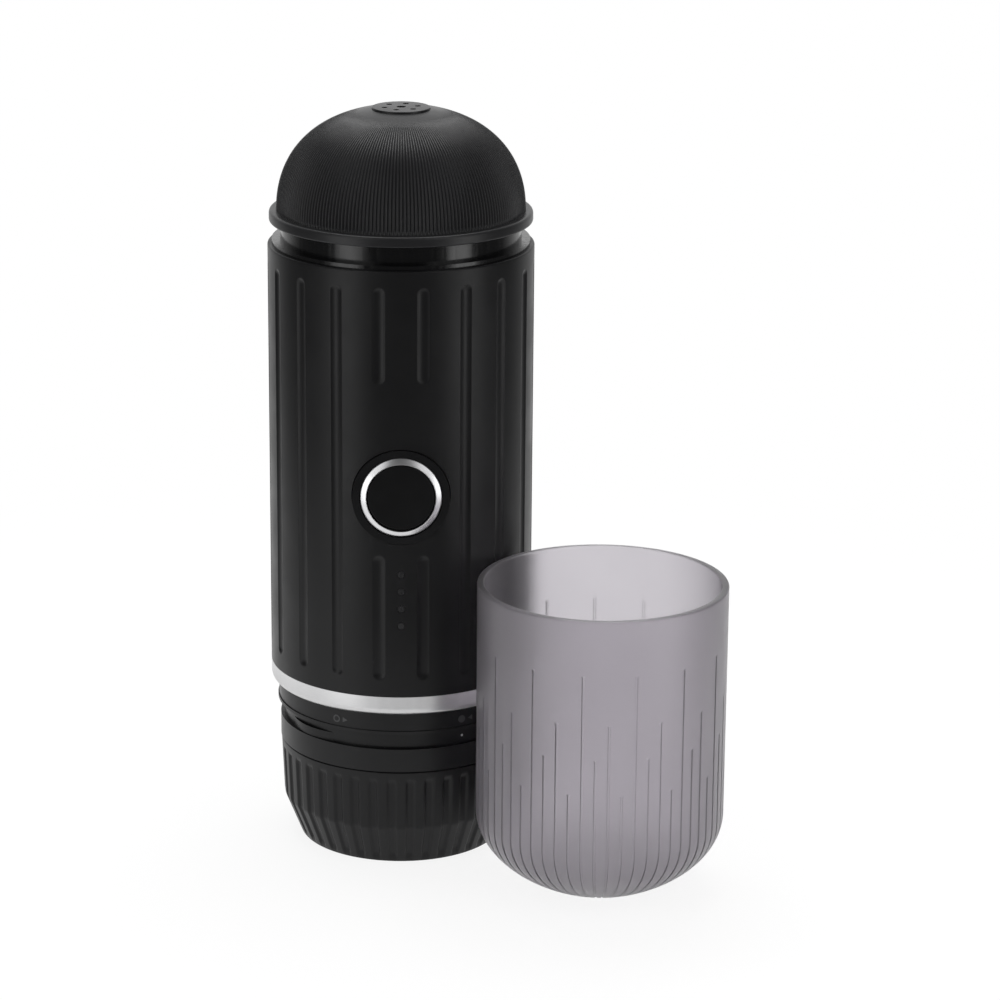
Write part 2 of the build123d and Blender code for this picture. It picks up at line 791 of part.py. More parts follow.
socket_floor = port_back + socket_back_wall
with BuildPart() as charging_socket:
    with BuildSketch(Plane.XZ.offset(-port_back)):
        with Locations((0, port_level)):
            SlotOverall(socket_width, socket_height)
    extrude(amount=-socket_depth)
    with BuildSketch(Plane.XZ.offset(-socket_floor)):
        with Locations((0, port_level)):
            SlotOverall(socket_width - 2 * socket_wall, socket_height - 2 * socket_wall)
    extrude(amount=-socket_depth, mode=Mode.SUBTRACT)
    with BuildSketch(Plane.XZ.offset(-socket_floor)):
        with Locations((0, port_level)):
            Rectangle(socket_width - socket_height, tongue_height)
    extrude(amount=socket_back_wall + tongue_inset - socket_depth)
export(charging_socket, "charging_socket")

# Heater plate, water tank and gasket
with BuildPart() as heater_plate:
    disc(heater_radius, chassis_upper, heater_top)
    with BuildSketch(Plane.XY.offset(chassis_upper)):
        with PolarLocations(tube_ring_radius, 1, start_angle=tube_angle):
            Circle(tube_radius + screw_gap)
    extrude(amount=heater_thickness, mode=Mode.SUBTRACT)
export(heater_plate, "heater_plate")

with BuildPart() as water_tank:
    disc(tank_radius, tank_bottom, tank_top)
    disc(tank_flange_radius, tank_top - tank_flange, tank_top)
    disc(tank_radius - tank_wall, tank_bottom + tank_wall, tank_top, mode=Mode.SUBTRACT)
    with BuildSketch(Plane.XY.offset(tank_bottom)):
        with PolarLocations(tube_ring_radius, 1, start_angle=tube_angle):
            Circle(tube_bore)
    extrude(amount=tank_wall, mode=Mode.SUBTRACT)
export(water_tank, "water_tank")

with BuildPart() as tank_gasket_ring:
    tube(tank_flange_radius, tank_neck_bore, tank_top, neck_bottom)
export(tank_gasket_ring, "tank_gasket")

# Glossy neck between the shell and the lid
with BuildPart() as tank_neck:
    tube(spigot_radius, tank_neck_bore, neck_bottom, shell_top)
    tube(foot_bead_radius, tank_neck_bore, shell_top, shell_top + foot_bead)
    tube(tank_neck_radius, tank_neck_bore, shell_top + foot_bead, neck_top)
    fillet(tank_neck.edges().group_by(Axis.Z)[-1].sort_by(SortBy.RADIUS)[-1], tank_neck_edge)
export(tank_neck, "tank_neck")

# Domed lid with its flange, skirt and flat seat for the vent disc
lid_bore = skirt_radius - skirt_wall
inner_dome_radius = dome_radius - lid_wall
inner_rise = dome_rise - lid_wall
flange_edge_radius = lid_flange_radius - lid_flange_edge
skirt_bottom = neck_top - skirt_depth
seal_bottom = skirt_bottom + seal_rise
with BuildPart() as dome_lid:
    with BuildSketch(Plane.XZ):
        with BuildLine():
            dome_line = Bezier(
                (dome_radius, lid_top),
                (dome_radius, lid_top + dome_fullness * dome_rise),
                (dome_fullness * dome_radius, lid_top + dome_rise),
                (0, lid_top + dome_rise),
            )
            Polyline(
                dome_line @ 1,
                (0, neck_top),
                (lid_flange_radius - lid_flange_edge / 2, neck_top),
                (lid_flange_radius, neck_top + lid_flange_edge / 2),
                (lid_flange_radius, lid_top - lid_flange_edge),
                (flange_edge_radius, lid_top),
                dome_line @ 0,
            )
        make_face()
    revolve(axis=Axis.Z)
    tube(skirt_radius, lid_bore, skirt_bottom, neck_top)
    with BuildSketch(Plane.XZ):
        with BuildLine():
            inner_line = Bezier(
                (inner_dome_radius, lid_top),
                (inner_dome_radius, lid_top + dome_fullness * inner_rise),
                (dome_fullness * inner_dome_radius, lid_top + inner_rise),
                (0, lid_top + inner_rise),
            )
            Polyline(inner_line @ 1, (0, lid_top), inner_line @ 0)
        make_face()
    revolve(axis=Axis.Z, mode=Mode.SUBTRACT)
    disc(lid_bore, neck_top, lid_top, mode=Mode.SUBTRACT)
    disc(dome_radius / 2, vent_seat, lid_top + dome_rise, mode=Mode.SUBTRACT)
    disc(vent_stem_radius + screw_gap, lid_top, vent_seat, mode=Mode.SUBTRACT)
    tube(skirt_radius + seal_width, skirt_radius - seal_width, seal_bottom, seal_bottom + seal_height,
         mode=Mode.SUBTRACT)
export(dome_lid, "dome_lid")

with BuildPart() as lid_seal:
    tube(tank_neck_bore - run_gap, skirt_radius - seal_width, seal_bottom, seal_bottom + seal_height)
export(lid_seal, "lid_seal")

with BuildPart() as vent_disc:
    disc(vent_radius, vent_seat, vent_seat + vent_plate)
    disc(vent_stem_radius, vent_seat - vent_stem, vent_seat)
    fillet(vent_disc.edges().group_by(Axis.Z)[-1], vent_plate / 2)
    with BuildSketch(Plane.XY.offset(vent_seat - vent_stem)):
        Circle(vent_hole_radius)
        with PolarLocations(vent_hole_ring_radius, vent_hole_count, start_angle=rear):
            Circle(vent_hole_radius)
    extrude(amount=vent_stem + vent_plate, mode=Mode.SUBTRACT)
export(vent_disc, "vent_disc")

# Drinking cup beside the machine
cup_plane = Plane(origin=(cup_x, cup_y, 0), x_dir=(1, 0, 0), z_dir=(0, -1, 0))
cup_axis = Axis((cup_x, cup_y, 0), (0, 0, 1))
cup_bore = cup_radius - cup_wall


def cup_corner_line(radius, floor):
    """Draw the cup's rounded lower corner, from its flat middle up to its straight side."""
    rise = cup_corner - floor
    reach = radius - cup_flat_radius
    return Bezier(
        (cup_flat_radius, floor),
        (cup_flat_radius + cup_foot_handle * reach, floor),
        (radius, cup_corner - cup_side_handle * rise),
        (radius, cup_corner),
    )


with BuildPart() as drinking_cup:
    with BuildSketch(cup_plane):
        with BuildLine():
            outer_corner = cup_corner_line(cup_radius, 0)
            inner_corner = cup_corner_line(cup_bore, cup_wall)
            Polyline(outer_corner @ 1, (cup_radius, cup_height), (cup_bore, cup_height), inner_corner @ 1)
            Polyline(inner_corner @ 0, (0, cup_wall), (0, 0), outer_corner @ 0)
        make_face()
    revolve(axis=cup_axis)
    fillet(drinking_cup.edges().group_by(Axis.Z)[-1], cup_wall / 4)
export(drinking_cup, "drinking_cup")
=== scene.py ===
import json
from math import cos, pi, radians, sin

import bpy
import numpy as np
from mathutils import Matrix, Vector


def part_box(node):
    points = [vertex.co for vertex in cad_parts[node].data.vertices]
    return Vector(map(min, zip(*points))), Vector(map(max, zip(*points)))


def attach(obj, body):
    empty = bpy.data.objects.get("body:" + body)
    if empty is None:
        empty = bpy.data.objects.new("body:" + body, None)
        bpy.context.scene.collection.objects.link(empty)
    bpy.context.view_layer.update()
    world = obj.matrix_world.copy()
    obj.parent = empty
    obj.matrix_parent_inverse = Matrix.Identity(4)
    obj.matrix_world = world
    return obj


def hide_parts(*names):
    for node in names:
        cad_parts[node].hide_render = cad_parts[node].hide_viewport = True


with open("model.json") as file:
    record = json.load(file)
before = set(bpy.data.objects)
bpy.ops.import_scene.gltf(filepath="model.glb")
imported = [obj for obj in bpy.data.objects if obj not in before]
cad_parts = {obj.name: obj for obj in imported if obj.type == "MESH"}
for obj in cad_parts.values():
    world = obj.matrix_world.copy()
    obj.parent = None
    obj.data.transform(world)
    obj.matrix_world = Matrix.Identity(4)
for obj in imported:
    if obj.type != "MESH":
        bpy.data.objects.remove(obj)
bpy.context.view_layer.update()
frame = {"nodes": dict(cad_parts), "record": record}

MM = 0.001


def span(node):
    """Lowest and highest corner of a node, in millimetres."""
    low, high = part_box(node)
    return [value / MM for value in low], [value / MM for value in high]


# Sizes that the frame gives, in millimetres
shell_low, shell_high = span("outer_shell")
shell_radius = shell_high[0]
shell_bottom = shell_low[2]
shell_top = shell_high[2]
band_low, _ = span("trim_band")
collar_low, _ = span("brew_collar")
_, bowl_high = span("grip_bowl")
lid_low, lid_high = span("dome_lid")
seal_low, seal_high = span("lid_seal")
cup_low, cup_high = span("drinking_cup")
cup_x = (cup_low[0] + cup_high[0]) / 2
cup_y = (cup_low[1] + cup_high[1]) / 2
vent_low, vent_high = span("vent_disc")
_, neck_high = span("tank_neck")
socket_low, socket_high = span("charging_socket")
cap_low, cap_high = span("button_cap")
cap_ring_low, cap_ring_high = span("button_ring")
button_height = (cap_low[2] + cap_high[2]) / 2

# Camera: fitted to the outlines of the lid, band, collar, bowl and cup
camera_place = (0.00051, -1.00891, 0.40581)
camera_yaw = radians(1.578)
camera_pitch = radians(16.8874)
camera_roll = radians(0.4658)
camera_lens = 132.607
camera_sensor = 36.0
camera_near = 0.01
camera_far = 20.0


def add_object(name, data):
    """A new object in the scene."""
    piece = bpy.data.objects.new(name, data)
    bpy.context.collection.objects.link(piece)
    return piece


def make_camera():
    data = bpy.data.cameras.new("camera")
    data.sensor_width = camera_sensor
    data.lens = camera_lens
    data.clip_start = camera_near
    data.clip_end = camera_far
    camera = add_object("camera", data)
    turn = Matrix.Rotation(-camera_yaw, 4, "Z")
    tilt = Matrix.Rotation(pi / 2 - camera_pitch, 4, "X")
    roll = Matrix.Rotation(camera_roll, 4, "Z")
    camera.matrix_world = Matrix.Translation(camera_place) @ turn @ tilt @ roll
    bpy.context.scene.camera = camera


# Mesh building: outlines are radius and height in millimetres, creases are in degrees

corner_steps = 5
corner_share = 2.1
shortest = 1e-9
axis_reach = 1e-6
round_sides = 256
rod_sides = 128
crease = 35.0


def profile(*corners):
    """Points of a closed outline from corners (r, z) or (r, z, rounding)."""
    count = len(corners)
    points = []
    for index, corner in enumerate(corners):
        rounding = corner[2] if len(corner) > 2 else 0
        here = np.array(corner[:2], float)
        if not rounding:
            points.append(here)
            continue
        before = np.array(corners[index - 1][:2], float) - here
        after = np.array(corners[(index + 1) % count][:2], float) - here
        before_length = np.linalg.norm(before)
        after_length = np.linalg.norm(after)
        before = before / before_length
        after = after / after_length
        reach = min(rounding, before_length / corner_share, after_length / corner_share)
        for step in range(corner_steps + 1):
            share = step / corner_steps
            start = here + before * reach
            end = here + after * reach
            points.append((1 - share) ** 2 * start + 2 * share * (1 - share) * here + share ** 2 * end)
    return np.array(points)


def outward(points):
    """Unit normals of a closed outline, to the right of its direction."""
    along = np.roll(points, -1, axis=0) - np.roll(points, 1, axis=0)
    length = np.maximum(np.hypot(along[:, 0], along[:, 1]), shortest)
    return np.c_[along[:, 1] / length, -along[:, 0] / length]


def lathe(name, points, angles=None, depth=None, centre=(0.0, 0.0), sharp=crease):
    """A closed solid turned about a vertical axis; depth(angles, points) sinks it along its normals."""
    if angles is None:
        angles = np.linspace(0, 2 * pi, round_sides, endpoint=False)
    count_along = len(points)
    count_round = len(angles)
    shape = np.repeat(points[:, None, :], count_round, axis=1)
    if depth is not None:
        normals = outward(points)
        sunk = depth(angles, points)
        shape = shape - normals[:, None, :] * sunk[:, :, None]
    x = centre[0] + shape[:, :, 0] * np.cos(angles)
    y = centre[1] + shape[:, :, 0] * np.sin(angles)
    places = np.stack([x, y, shape[:, :, 1]], axis=-1).reshape(-1, 3) * MM
    rows = np.arange(count_along)
    columns = np.arange(count_round)
    row, column = np.meshgrid(rows, columns, indexing="ij")
    next_row = (row + 1) % count_along
    next_column = (column + 1) % count_round
    faces = np.stack([
        row * count_round + column,
        row * count_round + next_column,
        next_row * count_round + next_column,
        next_row * count_round + column,
    ], axis=-1).reshape(-1, 4)
    on_axis = points[:, 0] < axis_reach
    if on_axis.any():
        mapping = np.arange(count_along * count_round)
        for index in np.nonzero(on_axis)[0]:
            mapping[index * count_round:(index + 1) * count_round] = index * count_round
        faces = mapping[faces]
    kept = []
    for face in faces.tolist():
        corners = list(dict.fromkeys(face))
        if len(corners) > 2:
            kept.append(corners)
    used = sorted({corner for face in kept for corner in face})
    lookup = {old: new for new, old in enumerate(used)}
    kept = [[lookup[corner] for corner in face] for face in kept]
    mesh = bpy.data.meshes.new(name)
    mesh.from_pydata(places[used].tolist(), [], kept)
    return finish_mesh(name, mesh, sharp)


def shade(mesh, sharp):
    """Give a mesh smooth faces, and creases where they meet at more than the sharp angle."""
    mesh.polygons.foreach_set("use_smooth", [True] * len(mesh.polygons))
    mesh.set_sharp_from_angle(angle=radians(sharp))


def finish_mesh(name, mesh, sharp=crease):
    """Wrap a mesh as an object, with smooth faces and sharp creases."""
    mesh.update()
    mesh.validate()
    shade(mesh, sharp)
    return add_object(name, mesh)


def prism(name, places):
    """A closed bar between two loops of as many points, given one after the other."""
    count = len(places) // 2
    faces = [[i, count + i, count + (i + 1) % count, (i + 1) % count] for i in range(count)]
    faces += [list(range(count)), list(range(count, 2 * count))[::-1]]
    mesh = bpy.data.meshes.new(name)
    mesh.from_pydata(places, [], faces)
    return finish_mesh(name, mesh)


def rod(name, radius, low, high, sides=rod_sides):
    """A plain upright bar."""
    angles = np.linspace(0, 2 * pi, sides, endpoint=False)
    return lathe(name, profile((0, low), (radius, low), (radius, high), (0, high)), angles)


def shift(piece, x, y):
    """Move a piece's mesh sideways."""
    piece.data.transform(Matrix.Translation((x * MM, y * MM, 0)))
    return piece


def cut(piece, cutters):
    """Cut other closed meshes out of a piece, and remove the cutters."""
    for cutter in cutters:
        modifier = piece.modifiers.new("cut", "BOOLEAN")
        modifier.operation = "DIFFERENCE"
        modifier.solver = "EXACT"
        modifier.object = cutter
    graph = bpy.context.evaluated_depsgraph_get()
    mesh = bpy.data.meshes.new_from_object(piece.evaluated_get(graph))
    piece.modifiers.clear()
    old = piece.data
    piece.data = mesh
    bpy.data.meshes.remove(old)
    for cutter in cutters:
        bpy.data.objects.remove(cutter)
    shade(mesh, crease)


def to_front(piece, height):
    """Turn a lathed piece so that its axis points to the front at a height."""
    turn = Matrix.Translation((0, 0, height * MM)) @ Matrix.Rotation(radians(90), 4, "X")
    piece.data.transform(turn)
    piece.data.update()
    return piece


def smooth_step(value, edge):
    """From 0 at no value to 1 at the edge, without a corner."""
    share = np.clip(value / edge, 0, 1)
    return share * share * (3 - 2 * share)


# Materials: noise scales are per metre, bump distances in metres

colour_first = 6
colour_second = 7
colour_result = 2
worn_low = 0.52
worn_high = 0.6


class Nodes:
    """A material's node tree with short calls for the nodes that the finishes share."""

    def __init__(self, name):
        self.material = bpy.data.materials.new(name)
        self.material.use_nodes = True
        self.tree = self.material.node_tree
        self.shader = self.tree.nodes["Principled BSDF"]
        self.place = self.tree.nodes.new("ShaderNodeTexCoord").outputs["Object"]

    def add(self, kind, **values):
        node = self.tree.nodes.new(kind)
        for key, value in values.items():
            setattr(node, key, value)
        return node

    def link(self, source, target):
        self.tree.links.new(source, target)

    def noise(self, scale, detail=3.0, rough=0.5, stretch=None):
        node = self.add("ShaderNodeTexNoise")
        node.inputs["Scale"].default_value = scale
        node.inputs["Detail"].default_value = detail
        node.inputs["Roughness"].default_value = rough
        place = self.place
        if stretch:
            mapping = self.add("ShaderNodeMapping")
            mapping.inputs["Scale"].default_value = stretch
            self.link(place, mapping.inputs["Vector"])
            place = mapping.outputs["Vector"]
        self.link(place, node.inputs["Vector"])
        return node.outputs["Fac"]

    def range(self, source, low, high, from_low=0.3, from_high=0.7):
        node = self.add("ShaderNodeMapRange")
        node.inputs["From Min"].default_value = from_low
        node.inputs["From Max"].default_value = from_high
        node.inputs["To Min"].default_value = low
        node.inputs["To Max"].default_value = high
        self.link(source, node.inputs["Value"])
        return node.outputs["Result"]

    def mix(self, share, first, second):
        node = self.add("ShaderNodeMix", data_type="RGBA")
        if isinstance(share, (int, float)):
            node.inputs["Factor"].default_value = share
        else:
            self.link(share, node.inputs["Factor"])
        for value, socket in ((first, node.inputs[colour_first]), (second, node.inputs[colour_second])):
            if isinstance(value, tuple):
                socket.default_value = value + (1.0,)
            else:
                self.link(value, socket)
        return node.outputs[colour_result]

    def combine(self, operation, first, second):
        node = self.add("ShaderNodeMath", operation=operation)
        self.link(first, node.inputs[0])
        self.link(second, node.inputs[1])
        return node.outputs[0]

    def maximum(self, first, second):
        return self.combine("MAXIMUM", first, second)

    def product(self, first, second):
        return self.combine("MULTIPLY", first, second)

    def distance(self, centre):
        node = self.add("ShaderNodeVectorMath", operation="DISTANCE")
        node.inputs[1].default_value = centre
        self.link(self.place, node.inputs[0])
        return node.outputs["Value"]

    def bump(self, height, strength, distance):
        node = self.add("ShaderNodeBump")
        node.inputs["Strength"].default_value = strength
        node.inputs["Distance"].default_value = distance
        self.link(height, node.inputs["Height"])
        self.link(node.outputs["Normal"], self.shader.inputs["Normal"])

    def edges(self):
        node = self.add("ShaderNodeNewGeometry")
        return self.range(node.outputs["Pointiness"], 0.0, 1.0, worn_low, worn_high)

    def colour(self, source):
        self.link(source, self.shader.inputs["Base Color"])

    def gloss(self, source, low, high):
        self.link(self.range(source, low, high), self.shader.inputs["Roughness"])

    def clouded(self, source, first, second):
        return self.mix(self.range(source, 0.0, 1.0), first, second)


def tint(colour, factor):
    return tuple(min(channel * factor, 1.0) for channel in colour)


grain_scale = 2600.0
edge_wear = 0.35


def plastic(name, colour, rough, bump=0.12, specular=0.5):
    """Moulded plastic: faint colour drift, uneven gloss, fine spark-eroded grain, rubbed edges."""
    nodes = Nodes(name)
    cloud = nodes.noise(scale=35.0, detail=4.0)
    fine = nodes.noise(scale=grain_scale, detail=2.0)
    base = nodes.clouded(cloud, tint(colour, 0.86), tint(colour, 1.14))
    rubbed = nodes.product(nodes.edges(), nodes.range(cloud, 0.0, edge_wear))
    nodes.colour(nodes.mix(rubbed, base, tint(colour, 2.6)))
    nodes.gloss(nodes.noise(scale=90.0, rough=0.6), rough * 0.9, rough * 1.12)
    nodes.shader.inputs["Specular IOR Level"].default_value = specular
    nodes.bump(fine, strength=bump, distance=0.00004)
    return nodes.material


def gloss_plastic(name, colour, rough):
    """Polished plastic: clear reflections with faint ripples and hairline scratches."""
    nodes = Nodes(name)
    nodes.colour(nodes.clouded(nodes.noise(scale=40.0), tint(colour, 0.85), tint(colour, 1.15)))
    scratch = nodes.noise(scale=900.0, detail=2.0, rough=0.6, stretch=(1.0, 1.0, 0.08))
    nodes.gloss(scratch, rough * 0.7, rough * 1.6)
    nodes.bump(nodes.noise(scale=120.0, detail=1.0), strength=0.06, distance=0.0001)
    return nodes.material


def metal(name, colour, rough, stretch=(1.0, 1.0, 12.0)):
    """Satin metal: fine turned lines, uneven gloss, brighter edges."""
    nodes = Nodes(name)
    line = nodes.noise(scale=500.0, detail=4.0, rough=0.6, stretch=stretch)
    base = nodes.clouded(line, tint(colour, 0.93), tint(colour, 1.05))
    nodes.colour(nodes.mix(nodes.edges(), base, tint(colour, 1.12)))
    nodes.gloss(nodes.noise(scale=60.0), rough * 0.85, rough * 1.2)
    nodes.shader.inputs["Metallic"].default_value = 1.0
    nodes.bump(line, strength=0.1, distance=0.00003)
    return nodes.material


def rubber(name, colour, rough=0.6):
    """Moulded rubber: matte, with a fine dusty grain."""
    nodes = Nodes(name)
    dust = nodes.noise(scale=700.0, detail=4.0)
    nodes.colour(nodes.clouded(dust, tint(colour, 0.9), tint(colour, 1.25)))
    nodes.gloss(nodes.noise(scale=80.0), rough * 0.9, rough * 1.1)
    nodes.bump(dust, strength=0.2, distance=0.00005)
    return nodes.material


def print_and_highlight_finish(name, colour):
    """Flat colour, slightly uneven in cover, for pad-printed ink and for the painted highlight on embossed
    marks.
    """
    nodes = Nodes(name)
    cover = nodes.noise(scale=1500.0)
    nodes.colour(nodes.clouded(cover, tint(colour, 0.9), colour))
    nodes.gloss(cover, 0.45, 0.55)
    return nodes.material


smoke_density = 460.0
smoke_colour = (0.64, 0.62, 0.645, 1)
# Painted shade in the cup's foot: the heights in metres over which it fades out, and its darker colour
foot_shade_heights = (0.004, 0.011)
foot_shade_colour = (0.68, 0.67, 0.69)
smoke_index = 1.45
smoke_clearness = 0.95


def smoke_plastic(name):
    """Smoke-grey clear plastic with a light frost on its faces, and painted shade in its foot for the
    shadowed floor seen through it.
    """
    nodes = Nodes(name)
    clear = nodes.clouded(nodes.noise(scale=45.0), (0.92, 0.9, 0.93), (0.97, 0.95, 0.98))
    level = nodes.add("ShaderNodeSeparateXYZ")
    nodes.link(nodes.place, level.inputs[0])
    # Painted shade: the base colour darkens over the cup's lowest few millimetres, in place of the shadowed
    # floor seen through its foot
    above_foot_shade = nodes.range(level.outputs["Z"], 0.0, 1.0, *foot_shade_heights)
    nodes.colour(nodes.mix(above_foot_shade, foot_shade_colour, clear))
    nodes.gloss(nodes.noise(scale=300.0, detail=2.0), 0.36, 0.4)
    nodes.shader.inputs["IOR"].default_value = smoke_index
    nodes.shader.inputs["Transmission Weight"].default_value = smoke_clearness
    smoke = nodes.add("ShaderNodeVolumeAbsorption")
    smoke.inputs["Color"].default_value = smoke_colour
    smoke.inputs["Density"].default_value = smoke_density
    nodes.link(smoke.outputs["Volume"], nodes.tree.nodes["Material Output"].inputs["Volume"])
    return nodes.material


black = (0.0065, 0.0065, 0.007)
finishes = {
    "shell_plastic": plastic("shell_plastic", black, 0.38, bump=0.1, specular=0.25),
    "lid_plastic": plastic("lid_plastic", tint(black, 1.9), 0.36, bump=0.1, specular=0.3),
    "vent_plastic": plastic("vent_plastic", tint(black, 1.9), 0.36, specular=0.3),
    "neck_plastic": gloss_plastic("neck_plastic", (0.003, 0.003, 0.0033), 0.17),
    "collar_plastic": plastic("collar_plastic", black, 0.36, specular=0.25),
    "ring_plastic": plastic("ring_plastic", black, 0.36, specular=0.25),
    "bowl_plastic": plastic("bowl_plastic", tint(black, 1.05), 0.4, specular=0.25),
    "bezel_plastic": plastic("bezel_plastic", tint(black, 0.7), 0.34, specular=0.25),
    "button_plastic": plastic("button_plastic", tint(black, 0.6), 0.42, specular=0.2),
    "window_plastic": gloss_plastic("window_plastic", (0.012, 0.012, 0.013), 0.3),
    "band_metal": metal("band_metal", (0.62, 0.62, 0.625), 0.32),
    "ring_metal": metal("ring_metal", (0.73, 0.73, 0.74), 0.3, stretch=(1.0, 8.0, 1.0)),
    "cup_plastic": smoke_plastic("cup_plastic"),
    "seal_rubber": rubber("seal_rubber", (0.03, 0.03, 0.03)),
    "tube_rubber": rubber("tube_rubber", (0.6, 0.58, 0.55), 0.4),
    "screen_steel": metal("screen_steel", (0.6, 0.6, 0.62), 0.3, stretch=(6.0, 1.0, 1.0)),
    "tank_steel": metal("tank_steel", (0.6, 0.6, 0.61), 0.28),
    "screw_steel": metal("screw_steel", (0.5, 0.5, 0.52), 0.32),
    "socket_steel": metal("socket_steel", (0.55, 0.55, 0.57), 0.3, stretch=(1.0, 10.0, 1.0)),
    "motor_steel": metal("motor_steel", (0.5, 0.5, 0.52), 0.34),
    "shaft_steel": metal("shaft_steel", (0.6, 0.6, 0.62), 0.22),
    "rotor_iron": metal("rotor_iron", (0.2, 0.19, 0.18), 0.45, stretch=(1.0, 1.0, 40.0)),
    "heater_aluminium": metal("heater_aluminium", (0.65, 0.65, 0.67), 0.35, stretch=(5.0, 1.0, 1.0)),
    "holder_aluminium": metal("holder_aluminium", (0.6, 0.6, 0.62), 0.32),
    "outlet_plastic": plastic("outlet_plastic", (0.02, 0.02, 0.02), 0.4),
    "chassis_plastic": plastic("chassis_plastic", (0.09, 0.09, 0.1), 0.5),
    "pump_plastic": plastic("pump_plastic", (0.55, 0.55, 0.53), 0.45),
    "cell_wrap": gloss_plastic("cell_wrap", (0.03, 0.09, 0.25), 0.2),
    "board_laminate": gloss_plastic("board_laminate", (0.01, 0.12, 0.05), 0.25),
    "switch_plastic": plastic("switch_plastic", (0.03, 0.03, 0.03), 0.4),
    "lamp_plastic": gloss_plastic("lamp_plastic", (0.7, 0.7, 0.62), 0.15),
}
mark_ink = print_and_highlight_finish("mark_ink", (0.55, 0.55, 0.57))
# Painted highlight: the collar's embossed marks are the collar's own black, and this grey stands in for the
# light catching their relief
embossed_mark_highlight = print_and_highlight_finish("embossed_mark_highlight", (0.035, 0.035, 0.037))


def dress(piece, slot, body, *nodes):
    """Give a new piece its finish and body, and let it stand for CAD nodes."""
    piece.data.materials.clear()
    piece.data.materials.append(finishes[slot])
    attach(piece, body)
    if nodes:
        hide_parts(*nodes)


def dress_nodes():
    """Assign a finish to each CAD node's own material slots."""
    for row in frame["record"]["subparts"]:
        node = frame["nodes"][row["node"]]
        for slot in node.material_slots:
            slot.material = finishes[row["material_slot"]]


# Outer shell

groove_count = 19
groove_width = 3.6
groove_depth = 0.5
groove_softness = 0.3
groove_foot = 5.2
groove_head = 4.6
short_top = 94.4
short_foot = 143.6
groove_columns = 72
shell_wall = 2.2
shell_edge = 0.7
shell_foot_edge = 0.25
shell_inner_edge = 0.2
shell_foot_margin = 0.6
shell_head_margin = 1.2
outer_margin = 0.1
cutter_low = 20
cutter_high = 45
bezel_hole = 13.7
window_radius = 1.05
window_sides = 32
window_lowest = 74.0
window_pitch = 5.0
window_count = 4


def groove_depths(angles, points):
    """Depth of the long shallow grooves, at each height and angle, on the outer wall only."""
    pitch = 2 * pi / groove_count
    front = -pi / 2
    place = (angles - front) / pitch
    index = np.floor(place)
    across = np.abs(place - index - 0.5) * pitch * shell_radius
    beside_button = np.isin(np.mod(index, groove_count), (0, groove_count - 1))
    height = points[:, 1][:, None]
    half = groove_width / 2
    spans = [(shell_bottom + groove_foot, shell_top - groove_head, ~beside_button),
             (shell_bottom + groove_foot, short_top, beside_button),
             (short_foot, shell_top - groove_head, beside_button)]
    depth = np.zeros((len(points), len(angles)))
    for low, high, chosen in spans:
        beyond = np.maximum(low + half - height, 0) + np.maximum(height - high + half, 0)
        hollow = np.clip(1 - (across[None, :] ** 2 + beyond ** 2) / half ** 2, 0, 1)
        depth = np.maximum(depth, hollow * smooth_step(hollow, groove_softness) * chosen[None, :])
    outer = points[:, 0][:, None] > shell_radius - outer_margin
    return depth * groove_depth * outer


level_share = 0.6


def fine_levels(low, high, marks, fine, reach, coarse):
    """Heights between low and high, close together near the marks."""
    levels = [low, high]
    for mark in marks:
        levels.extend(np.arange(mark - reach, mark + reach, fine).tolist())
    levels.extend(np.arange(low, high, coarse).tolist())
    levels = sorted(level for level in levels if low <= level <= high)
    kept = [levels[0]]
    for level in levels[1:-1]:
        if level - kept[-1] > fine * level_share:
            kept.append(level)
    kept.append(levels[-1])
    return kept


def make_shell():
    marks = (shell_bottom + groove_foot, shell_top - groove_head, short_top, short_foot)
    inner = shell_radius - shell_wall
    levels = fine_levels(shell_bottom + shell_foot_margin, shell_top - shell_head_margin, marks,
                         fine=0.35, reach=2.6, coarse=6.0)
    corners = [(inner, shell_bottom), (shell_radius, shell_bottom, shell_foot_edge)]
    corners += [(shell_radius, level) for level in levels]
    corners += [(shell_radius, shell_top, shell_edge), (inner, shell_top, shell_inner_edge)]
    angles = np.linspace(0, 2 * pi, groove_count * groove_columns, endpoint=False)
    shell = lathe("shell", profile(*corners), angles, groove_depths)
    cutters = [to_front(rod("bezel_cutter", bezel_hole, cutter_low, cutter_high), button_height)]
    for index in range(window_count):
        window = rod("window_cutter", window_radius, cutter_low, cutter_high, window_sides)
        cutters.append(to_front(window, window_lowest + index * window_pitch))
    cutters.append(port_cutter())
    cut(shell, cutters)
    dress(shell, "shell_plastic", "machine", "outer_shell")


port_width = 10.2
port_height = 4.4
port_level = (socket_low[2] + socket_high[2]) / 2
port_steps = 16


def port_cutter():
    """A slot-shaped bar through the back of the shell, for the charging socket."""
    half = port_height / 2
    reach = port_width / 2 - half
    outline = []
    for side in (1, -1):
        for step in range(port_steps + 1):
            angle = -pi / 2 + pi * step / port_steps
            outline.append((side * (reach + half * cos(angle)), side * half * sin(angle)))
    ends = (cutter_low, cutter_high)
    places = [(x * MM, y * MM, (port_level + z) * MM) for y in ends for x, z in outline]
    return prism("port_cutter", places)


# Button ring

ring_outer = cap_ring_high[0]
ring_bore = 9.6
ring_face = -cap_ring_low[1]
ring_back = -cap_ring_high[1]
ring_slope = 1.0
ring_edge = 0.25


def make_button_ring():
    """A cone-faced ring round the button."""
    corners = [(ring_bore, ring_back), (ring_outer, ring_back)]
    corners += [(ring_outer, ring_face - ring_slope, ring_edge), (ring_bore, ring_face, ring_edge)]
    ring = to_front(lathe("button_trim", profile(*corners)), button_height)
    dress(ring, "ring_metal", "machine", "button_ring")


# Dome lid

